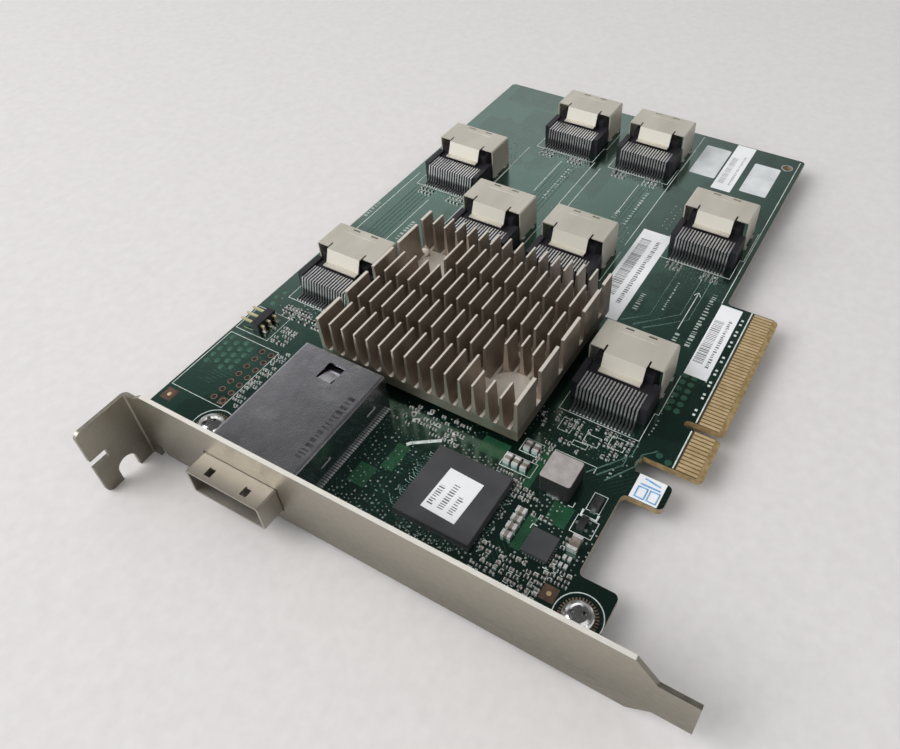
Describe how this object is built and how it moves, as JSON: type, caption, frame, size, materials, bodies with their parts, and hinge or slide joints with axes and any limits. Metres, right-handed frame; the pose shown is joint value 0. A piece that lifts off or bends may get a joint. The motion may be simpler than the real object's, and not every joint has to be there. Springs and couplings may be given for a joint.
{
  "type": "sas expander card",
  "caption": "Storage expander card: green circuit board with slot bracket, finned heat sink, hooded internal cable ports, an external port and a gold card edge.",
  "frame": {"origin": "on the bracket's outer face, level with the outer edge of the card-edge connector and with the board's component side", "axes": "+X from the bracket to the card's far end, +Y from the card-edge connector to the card's top edge, +Z out of the component side, upwards"},
  "size_m": [0.1779, 0.1259, 0.0202],
  "materials": {
    "board_laminate": "glossy dark green solder mask on glass laminate",
    "gold_plating": "bright gold plating",
    "bracket_steel": "satin nickel plated sheet",
    "screw_steel": "bright plated",
    "cage_steel": "bright sheet metal",
    "port_steel": "satin nickel plated sheet",
    "dark_plastic": "moulded, fine satin",
    "tin_plating": "bright tin plating",
    "sink_aluminium": "anodised, satin",
    "thermal_rubber": "soft matt pad",
    "chip_plastic": "moulded epoxy",
    "inductor_core": "pressed powder core",
    "capacitor_ceramic": "fired ceramic",
    "label_paper": "matt printed paper"
  },
  "bodies": {
    "root": {"circuit_board": "board_laminate", "edge_contacts_component_side": "gold_plating", "edge_contacts_solder_side": "gold_plating", "slot_bracket": "bracket_steel", "bracket_screws": "screw_steel", "external_port_cage": "cage_steel", "external_port_housing": "dark_plastic", "external_port_contacts": "gold_plating", "heat_sink": "sink_aluminium", "thermal_pad": "thermal_rubber", "expander_chip": "chip_plastic", "logic_chip": "chip_plastic", "label_logic_chip": "label_paper", "power_inductor": "inductor_core", "power_chip": "chip_plastic", "ceramic_capacitors": "capacitor_ceramic", "sense_resistors": "chip_plastic", "output_capacitor": "capacitor_ceramic", "rectifier_diode": "chip_plastic", "regulator_transistor": "chip_plastic", "pin_header": "dark_plastic", "header_pins": "gold_plating", "label_wide": "label_paper", "label_serial": "label_paper", "label_rear": "label_paper", "label_hook": "label_paper", "port_1_shell": "port_steel", "port_1_housing": "dark_plastic", "port_1_contacts": "tin_plating", "port_2_shell": "port_steel", "port_2_housing": "dark_plastic", "port_2_contacts": "tin_plating", "port_3_shell": "port_steel", "port_3_housing": "dark_plastic", "port_3_contacts": "tin_plating", "port_4_shell": "port_steel", "port_4_housing": "dark_plastic", "port_4_contacts": "tin_plating", "port_5_shell": "port_steel", "port_5_housing": "dark_plastic", "port_5_contacts": "tin_plating", "port_6_shell": "port_steel", "port_6_housing": "dark_plastic", "port_6_contacts": "tin_plating", "port_7_shell": "port_steel", "port_7_housing": "dark_plastic", "port_7_contacts": "tin_plating", "port_8_shell": "port_steel", "port_8_housing": "dark_plastic", "port_8_contacts": "tin_plating"}
  },
  "joints": []
}
